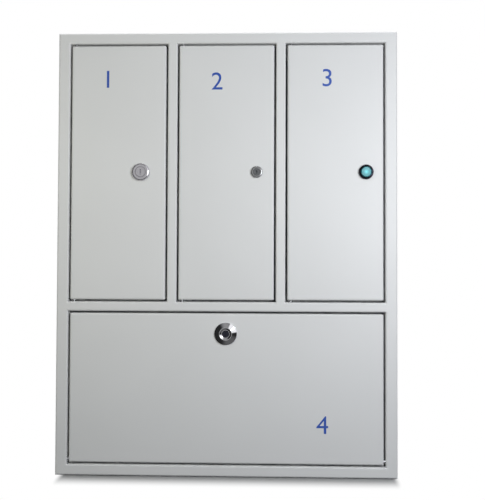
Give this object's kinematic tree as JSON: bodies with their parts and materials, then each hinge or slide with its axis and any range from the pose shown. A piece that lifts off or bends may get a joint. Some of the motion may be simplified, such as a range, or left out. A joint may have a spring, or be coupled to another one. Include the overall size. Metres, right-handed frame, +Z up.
{
  "type": "fiber optic distribution box",
  "caption": "Wall-mounted sheet-metal fiber distribution box: tall lockable operator doors above a wide drop-down door, with splice trays and adapter rows inside.",
  "frame": {"origin": "centre of the wall face (the back of the tub)", "axes": "+X to the right seen from the front, +Y from the front into the wall, +Z up"},
  "size_m": [0.46, 0.1551, 0.6022],
  "materials": {
    "powder_coat": "fine satin powder coat",
    "satin_nickel": "satin",
    "zinc": "bright zinc plating",
    "dark_chrome": "dark polished",
    "bright_chrome": "polished",
    "turquoise_plastic": "gloss",
    "foam": "closed-cell foam",
    "rubber": "matte",
    "tray_plastic": "fine moulded",
    "clear_plastic": "clear",
    "adapter_plastic": "moulded",
    "white_plastic": "moulded",
    "brass": "turned"
  },
  "bodies": {
    "cabinet": {"rear_tub": "powder_coat", "front_frame": "powder_coat", "left_divider": "powder_coat", "right_divider": "powder_coat", "shelf": "powder_coat", "left_door_pins": "zinc", "middle_door_pins": "zinc", "right_door_pins": "zinc", "lower_door_pins": "zinc", "door_seals": "foam", "left_splice_trays": "tray_plastic", "middle_splice_trays": "tray_plastic", "right_splice_trays": "tray_plastic", "left_tray_cover": "clear_plastic", "middle_tray_cover": "clear_plastic", "right_tray_cover": "clear_plastic", "tray_standoffs": "brass", "tray_thumb_nuts": "white_plastic", "left_adapter_bracket": "powder_coat", "middle_adapter_bracket": "powder_coat", "right_adapter_bracket": "powder_coat", "distribution_bracket": "powder_coat", "left_adapters": "adapter_plastic", "middle_adapters": "adapter_plastic", "right_adapters": "adapter_plastic", "distribution_adapters": "adapter_plastic", "adapter_caps": "white_plastic", "cable_saddles": "zinc", "strength_posts": "brass", "fibre_spools": "white_plastic", "earth_stud": "brass", "feeder_grommets": "rubber", "entry_plate": "powder_coat", "drop_grommets": "rubber", "mounting_screws": "zinc"},
    "left_door_leaf": {"left_door": "powder_coat", "left_lock_barrel": "satin_nickel", "left_lock_nut": "zinc"},
    "left_lock_cylinder": {"left_lock_plug": "satin_nickel", "left_lock_cam": "zinc", "left_lock_screw": "zinc"},
    "middle_door_leaf": {"middle_door": "powder_coat", "middle_lock_barrel": "zinc", "middle_lock_nut": "zinc"},
    "middle_lock_cylinder": {"middle_lock_plug": "zinc", "middle_lock_cam": "zinc", "middle_lock_screw": "zinc"},
    "right_door_leaf": {"right_door": "powder_coat", "right_lock_barrel": "dark_chrome", "right_lock_nut": "zinc"},
    "right_lock_cylinder": {"right_lock_plug": "dark_chrome", "right_lock_cam": "zinc", "right_lock_screw": "zinc", "right_lock_dust_cap": "turquoise_plastic"},
    "lower_door_leaf": {"lower_door": "powder_coat", "lower_lock_barrel": "bright_chrome", "lower_lock_nut": "zinc"},
    "lower_lock_cylinder": {"lower_lock_plug": "dark_chrome", "lower_lock_cam": "zinc", "lower_lock_screw": "zinc"}
  },
  "joints": [
    {"name": "left_door_hinge", "type": "hinge", "parent": "cabinet", "child": "left_door_leaf", "pos_m": [-0.2069, -0.145, 0.1095], "axis": [0, 0, -1], "range_deg": [0, 110]},
    {"name": "middle_door_hinge", "type": "hinge", "parent": "cabinet", "child": "middle_door_leaf", "pos_m": [-0.0599, -0.145, 0.1095], "axis": [0, 0, -1], "range_deg": [0, 110]},
    {"name": "right_door_hinge", "type": "hinge", "parent": "cabinet", "child": "right_door_leaf", "pos_m": [0.0871, -0.145, 0.1095], "axis": [0, 0, -1], "range_deg": [0, 110]},
    {"name": "lower_door_hinge", "type": "hinge", "parent": "cabinet", "child": "lower_door_leaf", "pos_m": [0, -0.145, -0.2779], "axis": [1, 0, 0], "range_deg": [0, 90]},
    {"name": "left_lock_turn", "type": "hinge", "parent": "left_door_leaf", "child": "left_lock_cylinder", "pos_m": [-0.1163, -0.14, 0.1095], "axis": [0, -1, 0], "range_deg": [0, 90]},
    {"name": "middle_lock_turn", "type": "hinge", "parent": "middle_door_leaf", "child": "middle_lock_cylinder", "pos_m": [0.0411, -0.14, 0.1095], "axis": [0, -1, 0], "range_deg": [0, 90]},
    {"name": "right_lock_turn", "type": "hinge", "parent": "right_door_leaf", "child": "right_lock_cylinder", "pos_m": [0.1881, -0.14, 0.1095], "axis": [0, -1, 0], "range_deg": [0, 90]},
    {"name": "lower_lock_turn", "type": "hinge", "parent": "lower_door_leaf", "child": "lower_lock_cylinder", "pos_m": [0, -0.14, -0.1087], "axis": [0, 1, 0], "range_deg": [0, 90]}
  ]
}
